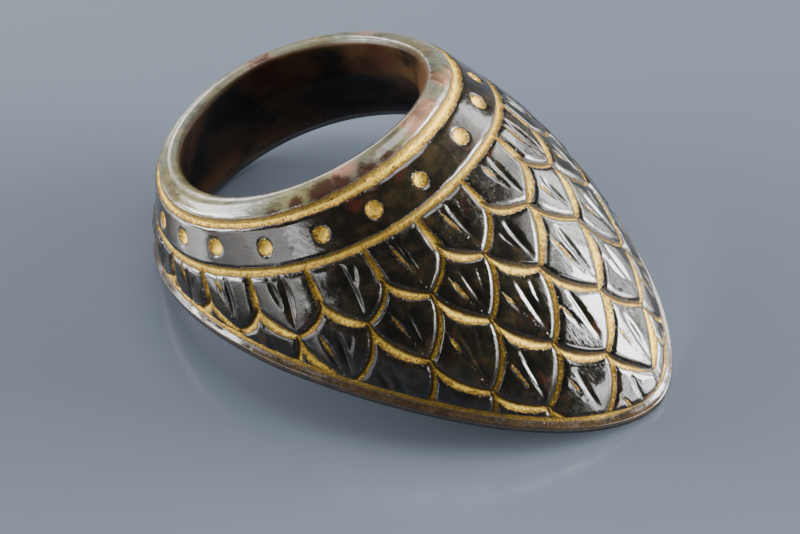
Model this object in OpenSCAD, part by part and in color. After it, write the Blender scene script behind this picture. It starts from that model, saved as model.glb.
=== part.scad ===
// Archery thumb ring, cut from one piece of dark hardstone
// It rests on the tip of its lip and on the back of its hoop, with the tip towards +X
// Angles run round the thumb hole: 0 is the tip of the lip and 180 is the back

/* [Thumb hole] */
// Width of the thumb hole, across the ring
bore_width = 21; // [19:0.5:22]
// Length of the thumb hole, along the ring, seen from above
bore_length = 21.4; // [20:0.2:22]
// Height of the hole's upper edge over the middle of the hole
rim_height = 16.75; // [16:0.25:18]
// Tilt of the rim, which rises towards the lip, in degrees
rim_tilt = 25.6; // [22:0.2:27]

/* [Hoop] */
// Width of the rounded rim at the sides of the hole
rim_width = 2.75; // [2.4:0.05:3]
// Height of the rim's rounding
rim_round = 0.5; // [0.2:0.05:0.7]
// Height of the dotted band at the sides
band_height = 3.95; // [3.4:0.05:4.2]
// Thickness of the hoop's wall at the bottom of the back
back_wall = 3.4; // [3:0.1:4.5]

/* [Lip] */
// Distance from the middle of the hole to the tip
lip_reach = 35.6; // [33:0.2:38]
// Greatest width, over the lower edges
lip_width = 34; // [33:0.2:36]
// Height of the arch of each lower edge over the surface it rests on
arch_height = 5.3; // [4:0.1:6]
// Swell of the outer face of the lip
lip_swell = 1.4; // [1:0.1:2.2]
// Thickness of the wall at the lower edges of the lip
edge_wall = 1.75; // [1.2:0.05:2.2]
// Hollow of the underside, as a share of its length
underside_hollow = 0.085; // [0.03:0.005:0.1]

/* [Carving] */
// Number of scales, and of dots, round the ring
scales_round = 20; // [16:1:21]
// Length of a scale that shows between its neighbours
scale_length = 4.7; // [4.2:0.05:5.2]
// Turn of the carving round the ring, in degrees
carving_turn = 4; // [0:0.5:9]
// Rise of the middle of a scale
scale_rise = 0.22; // [0.05:0.01:0.3]
// Width of the cuts round the scales
cut_width = 0.7; // [0.5:0.05:0.8]
// Depth of the cuts round the scales
cut_depth = 0.32; // [0.15:0.01:0.4]
// Width of the three lines that run round the ring
line_width = 0.75; // [0.5:0.05:0.9]
// Depth of those lines
line_depth = 0.28; // [0.15:0.01:0.35]
// Radius of the dots
dot_radius = 0.95; // [0.7:0.05:1.1]
// Depth of the dots
dot_depth = 0.45; // [0.2:0.01:0.5]

/* [Hidden] */

// Steps round the ring: a scale takes eight columns
SCALE_COLS = 8;
COLS = scales_round * SCALE_COLS;

// The lines that run round the ring, seen from above: where the line is widest, its front, its
// back and its half width, the power of the front and of the back (1 is an ellipse), then its
// height over the middle of the hole, its slope towards the tip and its bow
WIDEST = 0; FRONT = 1; BACK = 2; HALF = 3; NOSE = 4; HEEL = 5; RISE = 6; SLOPE = 7; BOW = 8;
front_share = 0.519;
bore_front = bore_length * front_share;
bore_back = bore_front - bore_length;
slope = tan(rim_tilt);
HOLE = [-0.7, bore_front, bore_back, bore_width / 2, 1, 0.88, rim_height, slope, 0.010];
// The rim is wider at the sides than at its ends, and falls this far from the hole to line 1
rim_end_width = rim_width - 0.35;
rim_fall = 1.05;
LINE_1 = [-0.6, bore_front + rim_end_width, bore_back - rim_end_width,
          bore_width / 2 + rim_width, 0.94, 1, rim_height - rim_fall, slope - 0.06, 0.006];
// How far line 2 lies outside line 1, at the sides and at the front
band_out = 1.7;
band_out_front = 3.6;
LINE_2 = [0.9, LINE_1[FRONT] + band_out_front, LINE_1[BACK], LINE_1[HALF] + band_out, 0.88, 1,
          LINE_1[RISE] - band_height, slope - 0.10, 0.006];
// The mouth of the hole, where its wall meets the underside
MOUTH = [0.6, bore_front - 1.7, bore_back - 0.1, bore_width / 2 + 0.3, 1, 1,
         rim_height - 3.85, slope - 0.04, 0];

// The lower edge, seen from above, and the bias of its arch towards the back
back_reach = bore_back - back_wall;
EDGE = [7.8, lip_reach, back_reach, lip_width / 2, 1.16, 0.97];
EDGE_FULL = 1.15;
ARCH_BIAS = -0.19;
// The resting spots at the tip and the back are worn flat by this much
WORN = 0.15;
// How far in and how far up from the lower edge each line near it runs: in at the front, in at
// the back, up at the front, up at the back
LOWER_EDGE = [0, 0, 0.3, 0.3];
FOOT = [0.5, 0.7, 0, 0];
BOTTOM_LINE = [0.45, 0.1, 1.7, 2.2];
INNER_EDGE = [edge_wall - 0.8, edge_wall + 0.8, 0.45, 0.45];

// The ring's box is centred on the origin
shift_x = -(lip_reach + back_reach) / 2;

// Rows of the fixed stretches. The rim's own rows end at a share of its width
RIM_ROWS = 3;
RIM_END = 0.86;
BAND_ROWS = [0.18, 0.36, 0.5, 0.64, 0.82];
UNDER_ROWS = 6;
BORE_ROWS = 2;
// Tips of the rows of scales: their distance from line 2 in scale lengths, and how much more of it
// there is at the sides. The first row is where the scales of the next one part
REACH = 0; GROWTH = 1;
ROW_TIPS = [
    [0.60, 0.00],
    [1.20, 0.00],
    [2.08, 0.18],
    [3.23, 0.17],
    [4.17, 0.15],
    [5.19, 0.10],
    [6.20, 0.10],
    [7.20, 0.10],
];
MAX_SCALE_ROWS = len(ROW_TIPS) - 2;
// The spacing of the scales round the ring drifts by up to this many degrees
drift = 2.3;
drift_start = 10;
// Slant of the columns towards the back at the lower edge, in degrees
column_slant = 12.5;
column_ease = 0.15;
// The outline of a scale between two tips is part straight and part round
point_share = 0.42;
// Least distance between two carved rows, and between them and the bottom line
row_gap = 0.12;
edge_gap = 0.5;
// The carving runs out over this length above the bottom line
run_out = 0.9;
// A scale with this much room between its cuts has its full rise
full_scale = 2.5;
// The field swells in full where it is this long, and upwards by this share of it
SWELL_LENGTH = 29;
SWELL_UP = 0.6;
// The rounding of the rim leans with its tilt by this share
RIM_LEAN = 0.5;

function power(v, p) = sign(v) * pow(abs(v), p);
function mix(a, b, t) = a * (1 - t) + b * t;

// Plan of an egg-shaped line at angle a, with full as the power of its length at the front
function egg(l, a, full = 1) = let (c = cos(a), s = sin(a)) [
    c > 0 ? l[WIDEST] + (l[FRONT] - l[WIDEST]) * pow(c, full)
          : l[WIDEST] + (l[WIDEST] - l[BACK]) * c,
    l[HALF] * power(s, c > 0 ? l[NOSE] : l[HEEL])];

// A point on one of the upper lines
function line_point(l, a) = let (p = egg(l, a))
    [p.x, p.y, l[RISE] + l[SLOPE] * p.x + l[BOW] * p.x * p.x];

// A point on a line that follows the lower edge
function edge_point(o, a) = let (
    p = egg(EDGE, a, EDGE_FULL), c = cos(a), front = (1 + c) / 2,
    t = (p.x - back_reach) / (lip_reach - back_reach),
    arch = 4 * arch_height * t * (1 - t) * (1 + ARCH_BIAS * (2 * t - 1)),
    inset = mix(o[1], o[0], front), up = mix(o[3], o[2], front))
    [p.x - inset * c, p.y - inset * sin(a), max(0, arch - WORN) + up];

// Outward swell of the field of scales between line 2 and the bottom line
function field_swell(a, len) = (len / SWELL_LENGTH) * lip_swell * [cos(a), sin(a), SWELL_UP];
function field_point(a, t) = let (
    p = line_point(LINE_2, a), q = edge_point(BOTTOM_LINE, a),
    swell = field_swell(a, norm(q - p)))
    mix(p, q, t) + 4 * t * (1 - t) * swell;

// The columns of scales lean towards the back as they go down
function column_angle(c, t) = let (a = c - carving_turn)
    c + t * column_slant * sin(a) / sqrt(pow(sin(a), 2) + column_ease);
function on_field(c, t) = field_point(column_angle(c, t), t);
function field_length(c) = let (middle = on_field(c, 0.5))
    norm(middle - on_field(c, 0)) + norm(on_field(c, 1) - middle);

// Outward direction of the field, from two short steps over it
function unit(v) = v / norm(v);
function field_normal(c, t) = let (e = 0.01)
    unit(cross(on_field(c + 0.5, t) - on_field(c - 0.5, t),
               on_field(c, min(1, t + e)) - on_field(c, max(0, t - e)))) * -1;

// Angle of a place round the ring that is counted in scales
function angle_at(s) = let (plain = carving_turn + s * 360 / scales_round)
    plain + drift * sin(plain + drift_start);

// Distance from line 2 to the tips of row k
function tip_reach(k, s) = let (side = pow(sin(angle_at(s) - carving_turn), 2))
    ROW_TIPS[k][REACH] * scale_length * (1 + ROW_TIPS[k][GROWTH] * side);

// Where the cut below row k crosses a column: from the tips above at 0 to its own tips at 1
function cut_place(k, s) = let (
    turn = s + (k % 2 == 0 ? 0.5 : 0),
    x = 1 - 2 * abs(turn - round(turn)),
    y = point_share * x + (1 - point_share) * sqrt(max(0, 1 - (1 - x) * (1 - x))))
    mix(tip_reach(k - 1, s), tip_reach(k, s), y);

// Two scales of row 1 part along a straight cut, which runs down from line 2 on this column
function parts_at(j) = j % SCALE_COLS == SCALE_COLS / 2;

// The carved rows of column j, as pairs of distance from line 2 and height over the field.
// Row k has a crest, then the upper side, floor and lower side of the cut below it
function carved_rows(j, len) = [for (k = [1 : MAX_SCALE_ROWS])
    let (
        s = j / SCALE_COLS,
        above = k == 1 ? 0 : cut_place(k - 1, s), here = cut_place(k, s), below = cut_place(k + 1, s),
        half = cut_width / 2,
        low = (above + here) / 2, high = (here + below) / 2,
        top = k == 1 ? row_gap : min(above + half, low - row_gap),
        side_up = max(here - half, low + row_gap), side_down = min(here + half, high - row_gap),
        room = k == 1 ? 1 : min(1, max(0, here - above - cut_width) / full_scale),
        in_part = k == 1 && parts_at(j),
        crest = in_part ? -cut_depth : mix(-cut_depth, scale_rise, room),
        rim_up = in_part ? -cut_depth : -cut_depth * max(0, 1 - (here - side_up) / half))
    for (r = [[mix(top, side_up, 0.5), crest],
              [side_up, rim_up],
              [(side_up + side_down) / 2, -cut_depth],
              [side_down, -cut_depth * max(0, 1 - (side_down - here) / half)]])
    if (r[0] < len - edge_gap) [r[0], r[1] * min(1, (len - edge_gap - r[0]) / run_out)]];

function field_rows(j, c) = let (len = field_length(c)) [for (r = carved_rows(j, len))
    let (t = r[0] / len) on_field(c, t) + r[1] * field_normal(c, t)];

// The rounded rim between the hole and line 1
function rim_point(c, t) = let (p = line_point(HOLE, c), q = line_point(LINE_1, c))
    mix(p, q, t) + rim_round * 4 * t * (1 - t) * [-sin(rim_tilt) * RIM_LEAN, 0, 1];

// The dotted band between lines 1 and 2
function band_normal(c) = unit(cross(line_point(LINE_2, c) - line_point(LINE_1, c),
                                     line_point(LINE_1, c + 1) - line_point(LINE_1, c - 1)));
function band_point(c, t) = mix(line_point(LINE_1, c), line_point(LINE_2, c), t);

// A sunk line: its upper side, floor and lower side, in the direction down the section
function sunk_line(p, down, out) = [
    p - down * line_width / 2, p - out * line_depth, p + down * line_width / 2];
function down_band(c) = unit(line_point(LINE_2, c) - line_point(LINE_1, c));

// The dots lie on the middle of the band, one over each scale
function dot_drop(j, c, t) = let (
    d = norm(band_point(c, t) - band_point(angle_at(round(j / SCALE_COLS)), 0.5)))
    dot_depth * max(0, 1 - pow(d / dot_radius, 2));

// One column of the outside, from the hole's edge down to the foot
function outer_column(j) = let (
    c = angle_at(j / SCALE_COLS),
    down = down_band(c), out = band_normal(c),
    end_out = field_normal(c, 1), end = on_field(c, 1), end_angle = column_angle(c, 1),
    edge = edge_point(LOWER_EDGE, end_angle), end_down = unit(edge - end))
    concat(
        [for (i = [0 : RIM_ROWS - 1]) rim_point(c, i * RIM_END / (RIM_ROWS - 1))],
        sunk_line(line_point(LINE_1, c), down, out),
        [for (t = BAND_ROWS) band_point(c, t) - dot_drop(j, c, t) * out],
        sunk_line(line_point(LINE_2, c), down, out),
        field_rows(j, c),
        sunk_line(end, end_down, end_out),
        [edge, edge_point(FOOT, end_angle)]);

// One column of the inside, from the lower edge up to just below the hole's edge
function under_point(a, t) = let (
    p = edge_point(INNER_EDGE, a), q = line_point(MOUTH, a), len = norm(q - p))
    mix(p, q, t) + [0, 0, underside_hollow * len * 4 * t * (1 - t)];
function inner_column(j) = let (c = angle_at(j / SCALE_COLS), foot = column_angle(c, 1))
    concat(
        [for (i = [0 : UNDER_ROWS]) let (t = i / UNDER_ROWS) under_point(mix(foot, c, t), t)],
        [for (i = [1 : BORE_ROWS - 1]) mix(line_point(MOUTH, c), line_point(HOLE, c), i / BORE_ROWS)]);

COLUMNS = [for (j = [0 : COLS - 1]) concat(outer_column(j), inner_column(j))];
// Where each column's points begin in the list of all points
function starts(j = 0, at = 0) = j == COLS ? [] : concat([at], starts(j + 1, at + len(COLUMNS[j])));
COLUMN_AT = starts();

// Rows past the field are alike in all columns, and the field has as many rows as fit. The tail is
// the sunk line, the edge and the foot, then the underside and the wall of the hole
TAIL_ROWS = 3 + 2 + UNDER_ROWS + BORE_ROWS;

// Two triangles between two rows of two neighbouring columns
function quad(a, b, c, d) = [[a, b, c], [b, d, c]];
// A fan takes up the rows that one of the two columns has more
function strip(j) = let (
    k = (j + 1) % COLS, a = COLUMN_AT[j], b = COLUMN_AT[k],
    na = len(COLUMNS[j]) - TAIL_ROWS, nb = len(COLUMNS[k]) - TAIL_ROWS, n = min(na, nb))
    concat(
        [for (i = [0 : n - 2]) for (f = quad(a + i, b + i, a + i + 1, b + i + 1)) f],
        na > n ? [for (i = [n - 1 : na - 2]) [a + i, b + n - 1, a + i + 1]] : [],
        nb > n ? [for (i = [n - 1 : nb - 2]) [b + i, b + i + 1, a + n - 1]] : [],
        [for (i = [-1 : TAIL_ROWS - 2])
            for (f = quad(a + na + i, b + nb + i, a + na + i + 1, b + nb + i + 1)) f],
        quad(a + na + TAIL_ROWS - 1, b + nb + TAIL_ROWS - 1, a, b));

module ring() {
    points = [for (column = COLUMNS) for (p = column) p];
    faces = [for (j = [0 : COLS - 1]) for (f = strip(j)) f];
    color([0.16, 0.15, 0.11]) translate([shift_x, 0, 0]) polyhedron(points, faces, convexity = 6);
}

ring();
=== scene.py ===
"""An archery thumb ring carved from dark polished hardstone, with gilded cuts, on a plain floor."""

import math
import random
from collections import namedtuple

import bmesh
import bpy
import numpy as np
from bpy.props import FloatProperty, FloatVectorProperty, IntProperty, PointerProperty
from mathutils import Matrix, Vector, kdtree


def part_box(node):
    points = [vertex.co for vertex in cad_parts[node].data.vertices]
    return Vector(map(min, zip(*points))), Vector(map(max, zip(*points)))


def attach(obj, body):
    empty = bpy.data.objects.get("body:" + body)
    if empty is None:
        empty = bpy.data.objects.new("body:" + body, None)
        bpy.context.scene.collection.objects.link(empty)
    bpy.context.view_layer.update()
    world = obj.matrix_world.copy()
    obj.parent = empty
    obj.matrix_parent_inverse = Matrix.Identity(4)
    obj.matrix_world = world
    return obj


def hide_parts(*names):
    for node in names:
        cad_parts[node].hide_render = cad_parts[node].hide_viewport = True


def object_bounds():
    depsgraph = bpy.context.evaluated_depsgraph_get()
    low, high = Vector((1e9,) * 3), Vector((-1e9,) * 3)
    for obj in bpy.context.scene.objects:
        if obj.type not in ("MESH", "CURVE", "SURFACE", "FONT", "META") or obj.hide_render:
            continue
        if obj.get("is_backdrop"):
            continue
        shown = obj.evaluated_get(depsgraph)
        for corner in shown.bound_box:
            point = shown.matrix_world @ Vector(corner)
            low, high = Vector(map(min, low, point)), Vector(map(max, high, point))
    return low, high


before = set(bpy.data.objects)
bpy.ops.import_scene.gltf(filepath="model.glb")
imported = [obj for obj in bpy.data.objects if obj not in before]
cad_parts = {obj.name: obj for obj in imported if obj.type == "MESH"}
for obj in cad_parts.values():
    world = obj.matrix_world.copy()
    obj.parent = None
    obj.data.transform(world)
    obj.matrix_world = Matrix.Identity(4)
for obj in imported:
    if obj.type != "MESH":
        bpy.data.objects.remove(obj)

bl_info = {
    "name": "Archery Thumb Ring",
    "version": (1, 0, 0),
    "blender": (4, 5, 0),
    "location": "3D View > Sidebar > Thumb Ring",
    "description": "Makes a carved hardstone thumb ring with gilded cuts, and a plain stage for it",
    "category": "Object",
}

CAD_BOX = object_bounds()
MM = 0.001
BOX_LOW, BOX_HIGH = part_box("ring")

# The photograph's frame, in pixels
PHOTO_WIDTH = 800
SENSOR = 36.0

# The values that the mesh hands to its material: how far inside the gilding, in millimetres, then
# as shares the painted shade under the scales and on the lines' upper walls together with real dirt
# in the bottom line, the thin stone, the wall of the hole, and the red and rosy stains
VALUES = ("gilding", "under", "thin", "wall", "red", "rose")


def mm(name, description, default, **more):
    return FloatProperty(
        name=name, description=description, default=default * MM, unit="LENGTH", **more)


def degrees(name, description, default):
    return FloatProperty(
        name=name, description=description, default=math.radians(default), subtype="ANGLE")


def rgb(name, of, default):
    return FloatVectorProperty(
        name=name, description="Colour of " + of, default=default, subtype="COLOR")


class RingForm(bpy.types.PropertyGroup):
    """Sizes of the ring's form, the same as in the part's source"""

    hole_width: mm("Hole Width", "Width of the thumb hole, across the ring", 21)
    hole_length: mm("Hole Length", "Length of the thumb hole, seen from above", 21.4)
    rim_height: mm(
        "Rim Height", "Height of the hole's upper edge over the middle of the hole", 16.75)
    rim_tilt: degrees("Rim Tilt", "Tilt of the rim, which rises towards the lip", 25.6)
    rim_width: mm("Rim Width", "Width of the rounded rim at the sides of the hole", 2.75)
    rim_round: mm("Rim Rounding", "Height of the rim's rounding", 0.5)
    band_height: mm("Band Height", "Height of the dotted band at the sides", 3.95)
    back_wall: mm("Back Wall", "Thickness of the hoop's wall at the bottom of the back", 3.4)
    arch_height: mm("Arch Height", "Height of the arch of each lower edge over the floor", 5.3)
    lip_swell: mm("Lip Swell", "Swell of the outer face of the lip", 1.4)
    edge_wall: mm("Edge Wall", "Thickness of the wall at the lower edges of the lip", 1.75)
    underside_hollow: FloatProperty(
        name="Underside Hollow", description="Hollow of the underside, as a share of its length",
        default=0.085, subtype="FACTOR")


class Carving(bpy.types.PropertyGroup):
    """Sizes of the scales, the cuts and the dots"""

    scales_round: IntProperty(
        name="Scales Round", description="Number of scales, and of dots, round the ring",
        default=20)
    scale_length: mm("Scale Length", "Length of a scale that shows between its neighbours", 4.7)
    turn: degrees("Turn", "Turn of the carving round the ring", 4)
    scale_rise: mm("Scale Rise", "Rise of the middle of a scale over its edges", 0.07)
    scale_tilt: mm("Scale Tilt", "Rise of a scale's tip over its top", 0.05)
    cut_width: mm("Cut Width", "Width of the cuts round the scales", 0.6)
    cut_depth: mm("Cut Depth", "Depth of the cuts round the scales", 0.34)
    line_width: mm("Line Width", "Width of the three lines that run round the ring", 0.72)
    line_depth: mm("Line Depth", "Depth of those lines", 0.3)
    dot_width: mm("Dot Width", "Diameter of the dots", 1.5)
    dot_depth: mm("Dot Depth", "Depth of the dots", 0.38)
    stroke_depth: mm("Stroke Depth", "Depth of the short strokes on the scales", 0.26)
    columns: IntProperty(
        name="Columns", description="Steps of the mesh round the ring", default=720)
    row_step: mm(
        "Row Step", "Distance between the mesh's rows in the field of scales", 0.175, precision=6)


class Colours(bpy.types.PropertyGroup):
    """Colours of the stone and of the gilding"""

    stone_dark: rgb("Dark Stone", "the stone's dark ground", (0.005, 0.0046, 0.0032))
    stone_olive: rgb("Olive Stone", "the stone's greener clouds", (0.019, 0.018, 0.0085))
    stone_brown: rgb("Brown Stone", "the stone's brown clouds", (0.03, 0.017, 0.008))
    stone_red: rgb("Red Flecks", "the stone's red flecks", (0.055, 0.012, 0.007))
    wall_brown: rgb("Wall Brown", "the brown stone in the wall of the hole", (0.05, 0.025, 0.01))
    clear_olive: rgb("Clear Olive", "the thin stone of the rim", (0.165, 0.147, 0.07))
    clear_rose: rgb("Clear Rose", "the rosy stains in the thin stone", (0.4, 0.18, 0.125))
    clear_grey: rgb("Clear Grey", "the greyer clouds in the thin stone", (0.12, 0.12, 0.09))
    clear_brown: rgb("Clear Brown", "the brown streaks in the thin stone", (0.065, 0.036, 0.014))
    stain_red: rgb("Red Stains", "the dark red stains", (0.036, 0.013, 0.008))
    dust: rgb("Dust", "the pale specks beside the gilding", (0.7, 0.66, 0.52))
    # Light gold is also painted light in the middle of each gilded line, and deep gold painted
    # shade at its edges
    gold_light: rgb("Light Gold", "the gilding where it is thick", (0.72, 0.495, 0.075))
    gold_deep: rgb("Deep Gold", "the gilding where it is thin", (0.25, 0.14, 0.016))
    # This darkest gold is painted shade along the gilding's edges, under the scales above and on
    # the lines' upper walls, and real dirt in the pits and the bottom line
    gold_soil: rgb("Soiled Gold", "the dirt along the edges of the gilding", (0.05, 0.03, 0.008))


class StageSettings(bpy.types.PropertyGroup):
    """Place of the camera, and the floor and lights"""

    azimuth: degrees("Azimuth", "Direction of the view round the ring", 35.49)
    elevation: degrees("Elevation", "Height of the view over the horizon", 48.09)
    roll: degrees("Roll", "Roll of the camera", -3.87)
    distance: mm("Distance", "Distance from the camera to its aim", 330)
    aim: FloatVectorProperty(
        name="Aim", description="Point on the floor at the middle of the picture",
        default=(-3.18 * MM, 2.05 * MM, 0), subtype="TRANSLATION")
    focal_pixels: FloatProperty(
        name="Focal Length in Pixels",
        description="Focal length, in pixels of the photograph's frame",
        default=3734.5, subtype="PIXEL")
    floor_colour: rgb("Floor", "the floor", (0.115, 0.135, 0.168))


# A line round the ring, seen from above: where it is widest, its front, its back and its half
# width, the power of its front and back (1 is an ellipse), then its height over the middle of the
# hole, its slope towards the tip and its bow
Line = namedtuple(
    "Line", "widest front back half nose heel rise slope bow", defaults=(1, 1, 0, 0, 0))

# How far in and how far up from the lower edge a line near it runs, at the front and at the back
Inset = namedtuple("Inset", "front back up_front up_back")

# Share of the hole's length that lies in front of its middle
FRONT_SHARE = 0.519
# The rim is narrower at its ends by this much, and falls this far from the hole to line 1
RIM_NARROWER = 0.35 * MM
RIM_FALL = 1.05 * MM
# The rounding of the rim leans with its tilt by this share
RIM_LEAN = 0.5
# How far line 2 lies outside line 1, at the sides and at the front
BAND_OUT = 1.7 * MM
BAND_OUT_FRONT = 3.6 * MM
# How far the mouth of the hole lies below its upper edge
MOUTH_FALL = 3.85 * MM
# The power of the lower edge's length at the front, and the bias of its arch towards the back
EDGE_FULL = 1.15
ARCH_BIAS = -0.19
# The resting spots at the tip and the back are worn flat by this much
WORN = 0.15 * MM
# The field of scales swells in full where it is this long, and upwards by this share of it
SWELL_LENGTH = 29 * MM
SWELL_UP = 0.6
# Slant of the mesh's columns towards the back at the lower edge, and how gently it sets in
COLUMN_SLANT = math.radians(12.5)
COLUMN_EASE = 0.15
# The scales' spacing round the ring drifts by up to this angle, from this place on
DRIFT = math.radians(2.3)
DRIFT_START = math.radians(10)
# The outline of a scale is straight by this share, and round for the rest
POINT_SHARE = 0.42

# A short stroke on a scale: its place across (-1 to 1), where it starts and ends along the scale
# (0 to 1), its half width, its depth as a share, the share of its length that is gilded, and how
# often it is left out
Stroke = namedtuple("Stroke", "across start end half depth gilded rare")
STROKES = [
    Stroke(-0.30, 0.08, 0.66, 0.30 * MM, 0.8, 0.7, 0.1),
    Stroke(0.12, 0.04, 0.90, 0.46 * MM, 1.0, 0.0, 0.05),
    Stroke(0.52, 0.14, 0.62, 0.24 * MM, 0.6, 0.0, 0.75),
]
# The gilding fills this share of a stroke's half width, and counts up to this far away
GILT_WIDTH = 0.65
GILT_NEAR = 0.9 * MM

# Each scale leans by up to this much, to a side and along its length
TILT = 0.07 * MM
# The hand-polished unevenness of the scales: its wave vectors, per millimetre, and its height
RIPPLES = np.array([(1.9, 0.7, 1.1), (-0.9, 1.8, 0.8), (0.6, -1.2, 1.9)])
RIPPLE_HEIGHT = 0.02 * MM
# A scale reaches its full height this far from its cuts, and a stroke its full depth
DOME_RUN = 0.38 * MM
STROKE_RUN = 0.12 * MM

# Distance between the points along a cut, the longest cut, and how near it comes to the bottom line
CUT_SPACING = 0.08 * MM
LONGEST_CUT = 7 * MM
CUT_STOP = 0.1 * MM
# Short steps down and round the surface, which give its directions
STEP_DOWN = 0.05 * MM
STEP_ROUND = 0.01
# The walls of a cut reach this far out, in shares of its half width
CUT_REACH = 1.2

# The rubbed tip: its middle, counted from the ring's tip, how far it is full and how far it then
# fades, and what it takes from the cuts' depth, as a share, and from the gilding
WEAR_PLACE = np.array([-0.8, -1.2, 1.6]) * MM
WEAR_FULL = 1 * MM
WEAR_FADE = 4 * MM
WEAR_DEPTH = 0.5
WEAR_GILDING = 0.22 * MM

# Directions round the ring in which line 1 is broadest and hands have soiled the bottom line
WIDE_SIDE = math.radians(8)
HANDLED_SIDE = math.radians(-48)
# How much broader line 1 is there, and how much narrower the bottom line is all round
BROADER = 0.32
NARROWER = 0.15
# Painted shade on the upper walls of the lines, and real dirt in the bottom line on its handled
# side
WALL_SHADE = 0.6
HANDLED_SOIL = 0.62

# The thin stone ends within this height down the wall of the hole, and by this share at its edge
THIN_HEIGHT = 0.9 * MM
THIN_BEGUN = 0.35
# How thin the band and the lower edge look, and how far from a line the thin stone is full
BAND_THIN = 0.05
EDGE_THIN = 0.55
THIN_FADE = 0.6 * MM

# What stands for a distance that isn't counted: down from line 2, to the nearest line, the same
# in the hole, and inside the gilding
UNCOUNTED = -1.0
AWAY = 1.0
IN_HOLE = 2.0
NONE_NEAR = -1.0

# Seeds of the random draws for the cuts, the scales and the dots
CUT_SEED, SCALE_SEED, DOT_SEED = 11, 101, 5

# Vertices nearer than this are joined, in metres
WELD = 1e-7

# A pattern of noise in the stone, with its scale for each metre
Pattern = namedtuple("Pattern", "scale detail roughness distortion")
DRIFTS = Pattern(170, 3, 0.55, 0)
CLOUDS = Pattern(260, 4, 0.6, 0.2)
FLECKS = Pattern(420, 6, 0.7, 0.3)
STREAKS = Pattern(520, 5, 0.7, 0.4)
VEINS = Pattern(700, 5, 0.65, 0.3)
SWELLS = Pattern(800, 2, 0.5, 0)
SCRATCHES = Pattern(1300, 3, 0.7, 0)
PATCHES = Pattern(1900, 3, 0.6, 0)
GRAIN = Pattern(5200, 3, 0.6, 0)
FINE_GRAIN = Pattern(12000, 2, 0.6, 0)

# A stain of the stone beside the hole: its angle round the hole, its place from the hole's edge (0)
# to line 1 (1), how far it lies below that, and its radius, both in millimetres
Stain = namedtuple("Stain", "angle across below size")
RED_STAINS = [Stain(*row) for row in (
    (-47, 0.72, 0, 1.25), (-57, 0.80, 0, 0.7), (-20, 0.95, 0, 1.1), (-29, 0.9, 0, 1.1),
    (-39, 0.85, 0, 1.2), (-65, 0.98, 0, 0.7), (82, 0.0, 1.9, 1.6), (146, 0.0, 0.9, 1.5),
    (14, 0.6, 3.4, 0.9),
)]
ROSE_STAINS = [Stain(*row) for row in (
    (24, 0.62, 0, 1.1), (30, 0.9, 0, 0.8), (4, 0.55, 0, 1.0), (-4, 0.62, 0, 1.1),
    (-38, 0.3, 0, 1.1), (146, 0.1, 0, 1.3), (92, 0.75, 0, 1.2), (22, 1.0, 1.6, 1.0),
)]

# The tips of one row of scales: their distance from line 2 in scale lengths, and how much more
# of it there is at the sides. The first row is where the scales of the next one part
Tips = namedtuple("Tips", "reach growth")
ROWS = [Tips(*row) for row in (
    (0.60, 0.0), (1.20, 0.0), (2.08, 0.18), (3.23, 0.17), (4.17, 0.15), (5.19, 0.10),
    (6.20, 0.10), (7.20, 0.10),
)]
SCALE_ROWS = len(ROWS) - 1


def mix(a, b, t):
    return a * (1 - t) + b * t


def clamp(t):
    return np.clip(t, 0, 1)


def smooth(t):
    t = clamp(t)
    return t * t * (3 - 2 * t)


def length_of(v):
    return np.linalg.norm(v, axis=-1)


def unit(v):
    return v / np.maximum(length_of(v)[..., None], 1e-12)


def stack(x, y, z):
    return np.stack(np.broadcast_arrays(x, y, z), -1)


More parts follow.
